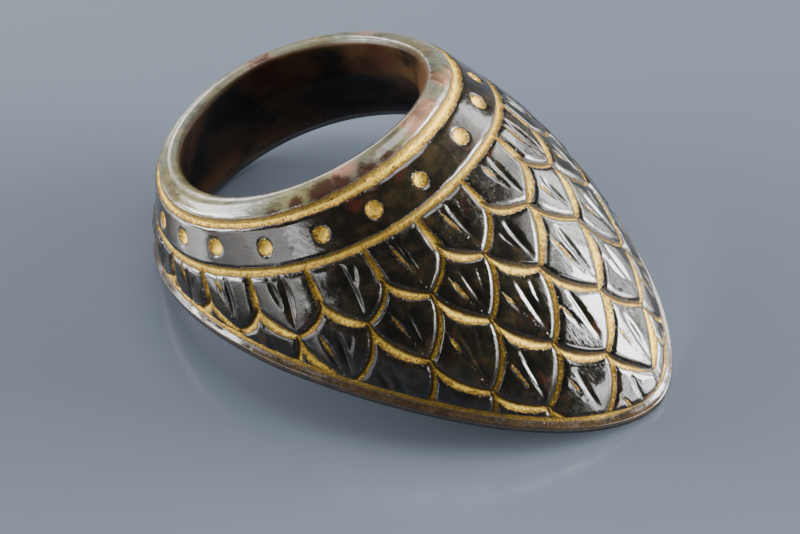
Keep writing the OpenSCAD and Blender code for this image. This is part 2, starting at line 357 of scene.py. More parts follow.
class Surface:
    """The ring's uncarved surface, worked out from the sizes of its form"""

    def __init__(self, form, carving):
        self.form, self.carving = form, carving
        half = form.hole_width / 2
        front = form.hole_length * FRONT_SHARE
        back = front - form.hole_length
        slope = math.tan(form.rim_tilt)
        self.back = back - form.back_wall
        self.shift = BOX_LOW.x - self.back
        self.front = BOX_HIGH.x - self.shift
        self.hole = Line(
            widest=-0.7 * MM, front=front, back=back, half=half, heel=0.88,
            rise=form.rim_height, slope=slope, bow=10)
        self.line_1 = Line(
            widest=-0.6 * MM, front=front + form.rim_width - RIM_NARROWER,
            back=back - form.rim_width + RIM_NARROWER, half=half + form.rim_width,
            nose=0.94, rise=form.rim_height - RIM_FALL, slope=slope - 0.06, bow=6)
        self.line_2 = Line(
            widest=0.9 * MM, front=self.line_1.front + BAND_OUT_FRONT, back=self.line_1.back,
            half=self.line_1.half + BAND_OUT, nose=0.88,
            rise=self.line_1.rise - form.band_height, slope=slope - 0.10, bow=6)
        self.mouth = Line(
            widest=0.6 * MM, front=front - 1.7 * MM, back=back - 0.1 * MM, half=half + 0.3 * MM,
            rise=form.rim_height - MOUTH_FALL, slope=slope - 0.04)
        self.edge = Line(
            widest=7.8 * MM, front=self.front, back=self.back,
            half=(BOX_HIGH.y - BOX_LOW.y) / 2, nose=1.16, heel=0.97)
        self.bottom_line = Inset(0.45 * MM, 0.1 * MM, 1.7 * MM, 2.2 * MM)
        self.lower_edge = Inset(0, 0, 0.3 * MM, 0.3 * MM)
        self.foot = Inset(0.5 * MM, 0.7 * MM, 0, 0)
        self.inner_edge = Inset(
            form.edge_wall - 0.8 * MM, form.edge_wall + 0.8 * MM, 0.45 * MM, 0.45 * MM)

    def egg(self, line, a, full=1.0):
        """Plan of an egg-shaped line at angle a, with full as the power of its length in front"""
        c, s = np.cos(a), np.sin(a)
        ahead = line.widest + (line.front - line.widest) * np.maximum(c, 0) ** full
        behind = line.widest + (line.widest - line.back) * c
        side = np.sign(s) * np.abs(s) ** np.where(c > 0, line.nose, line.heel)
        return np.where(c > 0, ahead, behind), line.half * side

    def on_line(self, line, a):
        """A point of one of the upper lines"""
        x, y = self.egg(line, a)
        return stack(x, y, line.rise + line.slope * x + line.bow * x * x)

    def on_edge(self, inset, a):
        """A point of a line that follows the lower edge"""
        x, y = self.egg(self.edge, a, EDGE_FULL)
        c = np.cos(a)
        front = (1 + c) / 2
        t = (x - self.back) / (self.front - self.back)
        arch = 4 * self.form.arch_height * t * (1 - t) * (1 + ARCH_BIAS * (2 * t - 1))
        inward = mix(inset.back, inset.front, front)
        up = mix(inset.up_back, inset.up_front, front)
        return stack(x - inward * c, y - inward * np.sin(a), np.maximum(0, arch - WORN) + up)

    def on_field(self, c, t):
        """A point of the field of scales on column c, at share t from line 2 to the bottom line"""
        a = self.column_angle(c, t)
        p, q = self.on_line(self.line_2, a), self.on_edge(self.bottom_line, a)
        swell = (length_of(q - p) / SWELL_LENGTH * self.form.lip_swell)[..., None]
        t = np.asarray(t)[..., None]
        return mix(p, q, t) + 4 * t * (1 - t) * swell * stack(np.cos(a), np.sin(a), SWELL_UP)

    def column_angle(self, c, t):
        """The angle that column c has reached at share t of the field, where it slants"""
        a = c - self.carving.turn
        return c + t * COLUMN_SLANT * np.sin(a) / np.sqrt(np.sin(a) ** 2 + COLUMN_EASE)

    def field_length(self, c):
        """Length of column c from line 2 to the bottom line, along eight chords"""
        steps = [self.on_field(c, np.full_like(c, t)) for t in np.linspace(0, 1, 9)]
        return sum(length_of(b - a) for a, b in zip(steps, steps[1:]))

    def on_rim(self, c, t):
        """A point of the rim, at share t from the hole to line 1"""
        p, q = self.on_line(self.hole, c), self.on_line(self.line_1, c)
        t = np.asarray(t)[..., None]
        lean = np.array([-math.sin(self.form.rim_tilt) * RIM_LEAN, 0, 1])
        return mix(p, q, t) + self.form.rim_round * 4 * t * (1 - t) * lean

    def on_band(self, c, t):
        """A point of the band, at share t from line 1 to line 2"""
        t = np.asarray(t)[..., None]
        return mix(self.on_line(self.line_1, c), self.on_line(self.line_2, c), t)

    def on_underside(self, a, t):
        """A point of the underside, at share t from the lower edge to the mouth of the hole"""
        p, q = self.on_edge(self.inner_edge, a), self.on_line(self.mouth, a)
        rise = self.form.underside_hollow * length_of(q - p) * 4 * t * (1 - t)
        return mix(p, q, np.asarray(t)[..., None]) + stack(0, 0, rise)


def corner_from(start, p, after, reach, s):
    """A rounded corner at p that begins at a given point and leaves at this reach"""
    end = p + unit(after - p) * reach
    return (1 - s) ** 2 * start + 2 * s * (1 - s) * p + s * s * end


def corner(p, before, after, reach, s):
    """A rounded corner at p, which leaves the straight walls to its neighbours at this reach"""
    return corner_from(p + unit(before - p) * reach, p, after, reach, s)


# How far from its corner each rounding begins, and the share of the rim that the first leads to
HOLE_EDGE_REACH = 0.42 * MM
FOOT_REACH = 0.28 * MM
MOUTH_REACH = 1.4 * MM
HOLE_EDGE_AIM = 0.3
# The closer rows at a line reach this far to both sides of it
LINE_REACH = 0.5 * MM
LINE_PLACES = [share * LINE_REACH for share in (-1, -0.7, -0.45, -0.2, 0, 0.2, 0.45, 0.7)]
# The parts of the section in order, and how many evenly spread rows each has
SECTION = (
    ("hole edge", 5), ("rim", 8), ("line 1", 0), ("band", 13), ("line 2", 0), ("field", 0),
    ("bottom line", 0), ("edge", 5), ("foot", 4), ("inner foot", 3), ("underside", 11),
    ("mouth", 5), ("wall", 3))
# The plain edge is rounded by this much, outwards and a little up, most of all above its middle
EDGE_BULGE = 0.26 * MM
BULGE_UP = 0.3
BULGE_SKEW = 0.75
# The underside's rows lie between these shares of it, and the hole's finish sets in over this one
UNDER_START = 0.02
UNDER_END = 0.88
WALL_FADE = 0.25


def section_rows(step, longest):
    """The mesh's rows, down the outside from the hole and then up the inside: the part of the
    section that each lies in, and its place there"""
    rows = []
    for zone, count in SECTION:
        if zone == "field":
            places = [LINE_REACH + i * step for i in range(int(longest / step) + 1)]
        else:
            places = [i / count for i in range(count)] if count else LINE_PLACES
        rows += [(zone, place) for place in places]
    return rows


def place_rows(surface, rows, c):
    """Where each row crosses each column, its distance down from line 2, and to the nearest line"""
    ones = np.ones_like(c)
    hole, mouth = surface.on_line(surface.hole, c), surface.on_line(surface.mouth, c)
    line_1 = surface.on_line(surface.line_1, c)
    band = surface.on_line(surface.line_2, c) - line_1
    band_length, rim_length = length_of(band), length_of(line_1 - hole)
    length = surface.field_length(c)
    low_angle = surface.column_angle(c, ones)
    bottom = surface.on_field(c, ones)
    edge = surface.on_edge(surface.lower_edge, low_angle)
    foot = surface.on_edge(surface.foot, low_angle)
    inner = surface.on_underside(low_angle, 0.0)
    rim_aim = surface.on_rim(c, HOLE_EDGE_AIM)
    under_end = surface.on_underside(c, ones * UNDER_END)
    edge_reach = np.minimum(FOOT_REACH, length_of(edge - bottom) / 3)[:, None]
    found = []
    for zone, t in rows:
        down = ones * UNCOUNTED
        near = ones * (IN_HOLE if zone in ("hole edge", "mouth", "wall") else AWAY)
        if "line" in zone:
            near = ones * abs(t)
        if zone == "hole edge":
            p = corner(hole, mouth, rim_aim, HOLE_EDGE_REACH, t)
        elif zone == "rim":
            # The rim's rows begin just inside the end of the hole's rounded edge
            first = HOLE_EDGE_REACH / rim_length * 0.95
            last = 1 - LINE_REACH / rim_length
            place = mix(first, last, t)
            p = surface.on_rim(c, place)
            near = (1 - place) * rim_length
        elif zone == "line 1":
            p = surface.on_rim(c, 1 + t / rim_length) if t < 0 else line_1 + unit(band) * t
            down = t - band_length if t > 0 else down
        elif zone == "band":
            place = mix(LINE_REACH, band_length - LINE_REACH, t)
            p = surface.on_band(c, place / band_length)
            near = np.minimum(place, band_length - place)
            down = place - band_length
        elif zone == "line 2":
            p = surface.on_band(c, 1 + t / band_length) if t < 0 else (
                surface.on_field(c, t / length))
            down = ones * t
        elif zone == "field":
            last = length - LINE_REACH
            down = np.where(t > last - surface.carving.row_step / 2, last, t)
            p = surface.on_field(c, down / length)
            near = np.minimum(down, length - down)
        elif zone == "bottom line":
            p = surface.on_field(c, 1 + t / length) if t < 0 else bottom + unit(edge - bottom) * t
            down = length + t
        elif zone == "edge":
            start = bottom + unit(edge - bottom) * LINE_REACH
            stop = edge + unit(bottom - edge) * edge_reach
            outward = stack(np.cos(c), np.sin(c), BULGE_UP)
            p = mix(start, stop, t) + EDGE_BULGE * np.sin(np.pi * t ** BULGE_SKEW) * outward
            near = length_of(p - bottom)
            down = length + near
        elif zone == "foot":
            p = corner(edge, bottom, foot, edge_reach, t)
        elif zone == "inner foot":
            start = edge + unit(foot - edge) * edge_reach
            p = corner(foot, start, inner, length_of(foot - start)[:, None], t)
        elif zone == "underside":
            near = ones * (AWAY + smooth(t / WALL_FADE))
            place = mix(UNDER_START, UNDER_END, t)
            p = surface.on_underside(mix(low_angle, c, place), place)
        elif zone == "mouth":
            p = corner_from(under_end, mouth, hole, MOUTH_REACH, t)
        else:
            start = mouth + unit(hole - mouth) * MOUTH_REACH
            stop = hole + unit(mouth - hole) * HOLE_EDGE_REACH
            p = mix(start, stop, t)
        found.append((p, down, near))
    points, downs, to_line = map(np.array, zip(*found))
    points[..., 0] += surface.shift
    return points, downs, to_line


def angle_at(carving, s):
    """Angle of a place round the ring that is counted in scales, whose spacing drifts a little"""
    plain = carving.turn + s * 2 * math.pi / carving.scales_round
    return plain + DRIFT * np.sin(plain + DRIFT_START)


def tip_reach(carving, k, s):
    """Distance from line 2 to the tips of row k"""
    side = np.sin(angle_at(carving, s) - carving.turn) ** 2
    return ROWS[k].reach * carving.scale_length * (1 + ROWS[k].growth * side)


def row_turn(k, s):
    """Scales from the nearest tip of row k, 0 at the tip and -0.5 or 0.5 between two tips"""
    turns = s + (0.5 if k % 2 == 0 else 0)
    return turns - np.round(turns)


def outline(x):
    """Shape of a scale's lower outline: 0 where it begins, 1 at its tip"""
    return POINT_SHARE * x + (1 - POINT_SHARE) * np.sqrt(np.maximum(0, 1 - (1 - x) ** 2))


def cut_place(carving, k, s):
    """Distance from line 2 at which the cut below row k crosses a column"""
    y = outline(1 - 2 * np.abs(row_turn(k, s)))
    return mix(tip_reach(carving, k - 1, s), tip_reach(carving, k, s), y)


class Cuts:
    """Points along the cuts of every second row, with their outward side and their half width"""

    def __init__(self, surface, parity):
        self.surface, self.carving = surface, surface.carving
        self.points, self.outs, self.halves = [], [], []
        dice = random.Random(CUT_SEED + parity)
        for i in range(self.carving.scales_round):
            if parity == 0:
                self.parting(i + 0.5, dice)
            for k in range(1, SCALE_ROWS + 1):
                if k % 2 == parity:
                    tip = i + (0.5 if k % 2 == 0 else 0)
                    self.arc(k, tip, -0.5, dice)
                    self.arc(k, tip, 0.5, dice)
        self.tree = kdtree.KDTree(len(self.points))
        for i, p in enumerate(self.points):
            self.tree.insert(p, i)
        self.tree.balance()
        self.outs, self.halves = np.array(self.outs), np.array(self.halves)

    def add(self, s, down, half, outward):
        """Adds the points of one cut as far as the bottom line"""
        c = angle_at(self.carving, s)
        length = self.surface.field_length(c)
        keep = down < length - CUT_STOP
        if keep.sum() < 3:
            return
        c, down, half, length = (values[keep] for values in (c, down, half, length))
        p = self.surface.on_field(c, down / length)
        below = unit(self.surface.on_field(c, (down + STEP_DOWN) / length) - p)
        beside = self.surface.on_field(c + STEP_ROUND, down / length) - p
        way = unit(np.gradient(p, axis=0))
        out = unit(np.cross(unit(np.cross(beside, below)), way))
        out *= outward * np.sign((out * below).sum())
        p[:, 0] += self.surface.shift
        self.points += [tuple(q) for q in p]
        self.outs += list(out)
        self.halves += list(half)

    def parting(self, s, dice):
        """The straight cut between two scales of row 1, which has no outward side"""
        end = float(tip_reach(self.carving, 0, s))
        down = np.arange(0, end, CUT_SPACING)
        half = self.carving.cut_width * (0.36 + 0.26 * smooth(down / end)) * dice.uniform(0.85, 1.2)
        self.add(np.full_like(down, s), down, half, 0)

    def arc(self, k, tip, reach, dice):
        """One side of the cut round a scale of row k, from where its neighbours part to its tip"""
        turn = np.linspace(0, math.pi / 2, int(LONGEST_CUT / CUT_SPACING))
        x = 1 - np.cos(turn)
        y = outline(x)
        s = tip + reach * (1 - x)
        down = mix(tip_reach(self.carving, k - 1, s), tip_reach(self.carving, k, s), y)
        a = angle_at(self.carving, s)
        # The cut is thin where it runs down the lip's length, and broad in its middle elsewhere
        lengthwise = smooth(0.5 - reach * 8 * np.sin(a)) * smooth(2 * np.cos(a) - 0.2)
        bulge = mix(dice.uniform(0.32, 0.54), dice.uniform(0.03, 0.1), lengthwise)
        bulge = bulge * np.sin(np.pi * (x + y) / 2)
        half = self.carving.cut_width * (0.37 + bulge) * dice.uniform(0.93, 1.07)
        self.add(s, down, half, 1)

    def cross(self, places):
        """For each place: its distance across the nearest cut, towards the cut's outside and in
        shares of its half width, the plain distance, and the half width"""
        found = [self.tree.find(p) for p in places]
        index = np.array([f[1] for f in found])
        distance = np.array([f[2] for f in found])
        offset = places - np.array([tuple(f[0]) for f in found])
        side = np.sign((offset * self.outs[index]).sum(-1))
        half = self.halves[index]
        return side * distance / half, distance, half


def leaning_cut(across):
    """Depth of a cut, as a share: steep under the scale above, and a slope to the scale below"""
    steep = smooth((across + CUT_REACH) / 0.55)
    slope = clamp((CUT_REACH - across) / 1.5) ** 0.9
    return np.minimum(steep, slope)


def even_cut(across):
    """Depth of a rounded cut, as a share"""
    return clamp(1 - (across / CUT_REACH) ** 2) ** 1.2


class Scales:
    """Which scale each place of the field lies on, and where on it"""

    def __init__(self, surface, s, down):
        carving = surface.carving
        self.row = np.ones_like(s, int)
        for k in range(1, SCALE_ROWS):
            self.row = np.where(down > cut_place(carving, k, s), k + 1, self.row)
        self.across, start, end, number = (np.zeros_like(s) for _ in range(4))
        for k in range(1, SCALE_ROWS + 1):
            here = self.row == k
            turns = s + (0.5 if k % 2 == 0 else 0)
            self.across = np.where(here, 2 * row_turn(k, s), self.across)
            start = np.where(here, 0 if k == 1 else tip_reach(carving, k - 2, s), start)
            end = np.where(here, tip_reach(carving, k, s), end)
            number = np.where(here, np.round(turns) % carving.scales_round, number)
        self.number = number.astype(int)
        self.along = (down - start) / (end - start)
        c = angle_at(carving, s)
        p = surface.on_field(c, clamp(down / surface.field_length(c)))
        self.reach = np.hypot(p[:, 0], p[:, 1]) * math.pi / carving.scales_round

    def each(self, in_field):
        """The number of every scale with the places on it, and dice of its own"""
        for k in range(1, SCALE_ROWS + 1):
            for i in range(self.number.max() + 1):
                here = np.flatnonzero(in_field & (self.row == k) & (self.number == i))
                if len(here):
                    yield k, here, random.Random(SCALE_SEED * k + i)


def cut_strokes(carving, scales, in_field):
    """Depth of the strokes at each place, how far inside a gilded one it lies, and its tilt"""
    depth, tilt = np.zeros_like(scales.along), np.zeros_like(scales.along)
    gilded = np.full_like(depth, NONE_NEAR)
    for k, here, dice in scales.each(in_field):
        # Below the first row the scales above cover more of a scale's top
        later = 0.0 if k == 1 else 1.0
        tilt[here] = (dice.uniform(-1, 1) * scales.across[here]
                      + dice.uniform(-1, 1) * (scales.along[here] - 0.6)) * TILT
        for stroke in STROKES:
            start = stroke.start + dice.uniform(-0.03, 0.05) + 0.25 * later
            end = min(0.92, stroke.end + dice.uniform(-0.12, 0.06) + 0.12 * later)
            middle = stroke.across + dice.uniform(-0.08, 0.08)
            gilt = stroke.gilded * dice.choice([0.0, 0.7, 1.0, 1.2])
            half = stroke.half * dice.uniform(0.75, 1.15)
            if dice.random() < stroke.rare:
                continue
            t = (scales.along[here] - start) / (end - start)
            off = np.abs(scales.across[here] - middle * (1 - 0.6 * t)) * scales.reach[here]
            width = half * np.sin(np.pi * clamp(t) ** 0.8)
            share = clamp(1 - off / np.maximum(width, 1e-6)) ** 0.8
            deep = carving.stroke_depth * stroke.depth * clamp(width / stroke.half)
            depth[here] = np.maximum(depth[here], deep * share)
            if gilt > 0:
                g = clamp(t / gilt)
                inside = GILT_WIDTH * half * np.sin(np.pi * g) - off
                gilded[here] = np.maximum(gilded[here], inside)
    gilded[gilded < -GILT_NEAR] = NONE_NEAR
    return depth, gilded, tilt


def vectors(source, name, count):
    """The vectors that a mesh holds for its vertices, as the rows of an array"""
    values = np.empty(count * 3)
    source.foreach_get(name, values)
    return values.reshape(-1, 3)


def cuts_round_scales(surface, co):
    """At each place: depth of the cuts, how far inside their gilding and outside them it lies, and
    the painted shade under the scale above"""
    cut, under = np.zeros(len(co)), np.zeros(len(co))
    gilding, free = np.full(len(co), NONE_NEAR), np.full(len(co), AWAY)
    for parity in (0, 1):
        across, distance, half = Cuts(surface, parity).cross(co)
        share = np.where(across == 0, even_cut(distance / half), leaning_cut(across))
        cut = np.maximum(cut, surface.carving.cut_depth * share)
        inner = np.where(across < 0, 0.92, 1.0) * half
        gilding = np.maximum(gilding, inner - distance)
        free = np.minimum(free, distance - half)
        # Painted shade: a dark band along the steep wall of the cut, under the scale above
        shade_and_soil = clamp((across + 1.5) / 0.5) * clamp((0.3 - across) / 0.8)
        under = np.maximum(under, shade_and_soil)
    return cut, gilding, free, under


def half_of_lines(carving, s, a, down, length):
    """Half width of the lines: uneven, broad at the front of line 1 and narrow at the bottom"""
    half = carving.line_width / 2 * (1 + 0.05 * np.sin(s * 7.3) + 0.04 * np.sin(s * 17 + 1))
    wide = smooth((np.cos(a - WIDE_SIDE) - 0.2) / 0.6) * (down < -2 * MM)
    return half * (1 + BROADER * wide - NARROWER * (down > length / 2))


def shade_and_soil_in_lines(line_half, a, down, length, to_line):
    """Painted shade on the upper wall of each line, and real dirt in all of the bottom line on the
    handled side
    """
    above_1, above_2 = down < UNCOUNTED / 2, (down < 0) & (down > -1 * MM)
    above_bottom = (down > length / 2) & (down < length)
    above = above_1 | above_2 | above_bottom
    # Painted shade on the upper wall of each line
    wall = WALL_SHADE * (np.abs(to_line - line_half * 0.7) < line_half * 0.5)
    handled = smooth(2.5 * np.cos(a - HANDLED_SIDE) - 1.4)
    low = np.where(down > length - LINE_REACH, HANDLED_SOIL * handled, 0)
    return np.maximum(np.where(above, wall, 0), low)


def carve(mesh, surface):
    """Sinks the lines, cuts, strokes and dots into the blank, and swells its scales"""
    carving = surface.carving
    count = len(mesh.vertices)
    co = vectors(mesh.vertices, "co", count)
    normal = vectors(mesh.vertex_normals, "vector", count)
    s, down, to_line = vectors(mesh.attributes["place"].data, "vector", count).T
    a = angle_at(carving, s)
    length = surface.field_length(a)
    in_field = (down >= 0) & (down <= length)
    scales = Scales(surface, s, down)
    strokes, gilded_stroke, tilt = cut_strokes(carving, scales, in_field)

    cut, under = np.zeros(count), np.zeros(count)
    gilding, free = np.full(count, NONE_NEAR), np.full(count, AWAY)
    cut[in_field], gilding[in_field], free[in_field], under[in_field] = cuts_round_scales(
        surface, co[in_field])
    line_half = half_of_lines(carving, s, a, down, length)
    cut = np.maximum(cut, carving.line_depth * even_cut(to_line / line_half))
    worn = WEAR_PLACE + (surface.front + surface.shift, 0, 0)
    wear = 1 - smooth((length_of(co - worn) - WEAR_FULL) / WEAR_FADE)
    cut *= 1 - WEAR_DEPTH * wear
    gilding = np.maximum(gilding, line_half - to_line) - WEAR_GILDING * wear
    free = np.minimum(free, to_line - line_half)
    # Painted shade on the lines' upper walls, and real dirt in the bottom line
    under = np.maximum(under, shade_and_soil_in_lines(line_half, a, down, length, to_line))

    ripple = np.sin(co / MM @ RIPPLES.T).sum(-1) * RIPPLE_HEIGHT
    swell = carving.scale_tilt * (smooth(scales.along) - 0.4) + tilt + ripple
    rise = smooth(free / DOME_RUN) * (carving.scale_rise + swell)
    rise -= strokes * clamp(free / STROKE_RUN)
    dots, dot_inside = dot_cuts(surface, co)
    gilding = np.maximum(gilding, dot_inside)
    gilding = np.maximum(gilding, np.where(in_field & (free > 0), gilded_stroke, NONE_NEAR))
    co += normal * (np.where(in_field, rise, 0) - cut - dots)[:, None]
    co[:, 2] = np.maximum(co[:, 2], 0)
    mesh.vertices.foreach_set("co", co.ravel())
    values = (
        gilding / MM, under, thin_stone(surface, down, length, to_line, co),
        clamp(to_line - AWAY), stained(surface, co, RED_STAINS),
        stained(surface, co, ROSE_STAINS))
    for name, numbers in zip(VALUES, values, strict=True):
        attribute = mesh.attributes.new(name, "FLOAT", "POINT")
        attribute.data.foreach_set("value", numbers.astype(np.float32))
    mesh.attributes.remove(mesh.attributes["place"])
    mesh.update()


def thin_stone(surface, down, length, to_line, co):
    """1 on the rim, where light passes through the stone, less on the lower edge and the band, and
    0 on the thick lip"""
    x, hole = co[:, 0] - surface.shift, surface.hole
    rim = hole.rise + hole.slope * x + hole.bow * x * x
    below = clamp((rim - co[:, 2]) / THIN_HEIGHT + THIN_BEGUN)
    in_hole = np.where(to_line >= AWAY, below, 0)
    on_band = (down > -surface.form.band_height - 0.2 * MM) & (to_line < AWAY)
    share = (1 - smooth(in_hole)) * np.where(on_band, BAND_THIN, 1.0)
    upper = np.where(down < 0, share * smooth(to_line / THIN_FADE), 0)
    return np.maximum(upper, EDGE_THIN * smooth((down - length) / LINE_REACH))


def stained(surface, co, stains):
    """1 in the middle of each stain, 0.5 along its outline and 0 away from it"""
    share = np.zeros(len(co))
    for stain in stains:
        middle = surface.on_rim(np.array([math.radians(stain.angle)]), np.array([stain.across]))[0]
        middle += (surface.shift, 0, -stain.below * MM)
        share = np.maximum(share, 1 - length_of(co - middle) / (stain.size * MM) / 2)
    return np.maximum(share, 0)


def dot_cuts(surface, co):
    """Depth of the dots at each place, and how far inside a dot it lies"""
    carving = surface.carving
    radius = carving.dot_width / 2
    depth, inside = np.zeros(len(co)), np.full(len(co), NONE_NEAR)
    dice = random.Random(DOT_SEED)
    for i in range(carving.scales_round):
        c = np.array([angle_at(carving, i + dice.uniform(-0.05, 0.05))])
        p = surface.on_band(c, np.array([0.5 + dice.uniform(-0.03, 0.03)]))[0]
        p[0] += surface.shift
        size = radius * dice.uniform(0.92, 1.08)
        distance = length_of(co - p)
        depth = np.maximum(depth, carving.dot_depth * clamp(1 - (distance / size) ** 3))
        inside = np.maximum(inside, size - distance)
    return depth, inside


def make_blank(surface):
    """The uncarved ring: a flat grid wrapped into the ring's closed surface and joined"""
    carving = surface.carving
    columns = carving.columns
    s = np.linspace(0, carving.scales_round, columns + 1)
    c = angle_at(carving, s)
    rows = section_rows(carving.row_step, float(surface.field_length(c).max()))
    points, downs, to_line = (
        np.concatenate([found, found[:1]]) for found in place_rows(surface, rows, c))
    points[:, -1] = points[:, 0]

    blank = bmesh.new()
    bmesh.ops.create_grid(blank, x_segments=columns, y_segments=len(rows), size=0.5)
    place = blank.verts.layers.float_vector.new("place")
    for v in blank.verts:
        column = round((v.co.x + 0.5) * columns)
        row = round((v.co.y + 0.5) * len(rows))
        v.co = points[row, column]
        v[place] = (s[column % columns], downs[row, column], to_line[row, column])
    bmesh.ops.remove_doubles(blank, verts=blank.verts, dist=WELD)
    bmesh.ops.dissolve_degenerate(blank, dist=WELD, edges=blank.edges)
    bmesh.ops.recalc_face_normals(blank, faces=blank.faces)
    mesh = bpy.data.meshes.new("ring_stone")
    blank.to_mesh(mesh)
    blank.free()
    mesh.shade_smooth()
    return mesh


class Wire:
    """A shader socket that takes part in Python sums, each of which adds a Math node"""

    def __init__(self, finish, socket):
        self.finish, self.socket = finish, socket

    def math(self, operation, *values):
        sockets = dict(enumerate((self, *values)))
        return self.finish.add("Math", sockets, {"operation": operation})

    def __add__(self, other):
        return self.math("ADD", other)

    def __mul__(self, other):
        return self.math("MULTIPLY", other)

    def __sub__(self, other):
        return self.math("SUBTRACT", other)

    def __rsub__(self, other):
        return (self * -1) + other

    __radd__, __rmul__ = __add__, __mul__

    def step(self, low, high):
        """0 below low, 1 above high and smooth between them"""
        sockets = {"Value": self, "From Min": low, "From Max": high}
        return self.finish.add("MapRange", sockets, {"interpolation_type": "SMOOTHSTEP"})


class Finish:
    """One material, and the ways to add nodes to it"""

    def __init__(self, name):
        self.material = bpy.data.materials.new(name)
        self.material.use_nodes = True
        self.tree = self.material.node_tree
        self.tree.nodes.clear()

    def add(self, kind, sockets=None, settings=None, out=0):
        """A node of this kind, with its settings and the values or links of its sockets"""
        node = self.tree.nodes.new("ShaderNode" + kind)
        for name, value in (settings or {}).items():
            setattr(node, name, value)
        for name, value in (sockets or {}).items():
            if isinstance(value, Wire):
                self.tree.links.new(value.socket, node.inputs[name])
            else:
                node.inputs[name].default_value = value
        return Wire(self, node.outputs[out]) if node.outputs else None

    def noise(self, place, pattern):
        """Soft noise in this pattern, about 0.5"""
        sockets = {name.title(): value for name, value in pattern._asdict().items()}
        return self.add("TexNoise", {"Vector": place, **sockets})

    def scratches(self, place, turn):
        """Fine lines across a plane turned by these angles: 0 between them, 1 on them"""
        sockets = {"Vector": place, "Rotation": turn, "Scale": (1, 11, 1)}
        stretched = self.add("Mapping", sockets)
        return self.noise(stretched, SCRATCHES).step(0.5, 0.72)

    def layers(self, ground, *layers):
        """A colour with others laid over it in turn, each with the share that it covers. A colour
        is a socket or three numbers"""
        for over, share in layers:
            a, b = (c if isinstance(c, Wire) else colour(c) for c in (ground, over))
            ground = self.add("Mix", {0: share, 6: a, 7: b}, {"data_type": "RGBA"}, out=2)
        return ground

    def value_of(self, name):
        """A value that the mesh carries"""
        return self.add("Attribute", None, {"attribute_name": name}, "Fac")

    def end(self, shader):
        self.add("OutputMaterial", {"Surface": shader})
        return self.material


def colour(values):
    return (*values, 1.0)


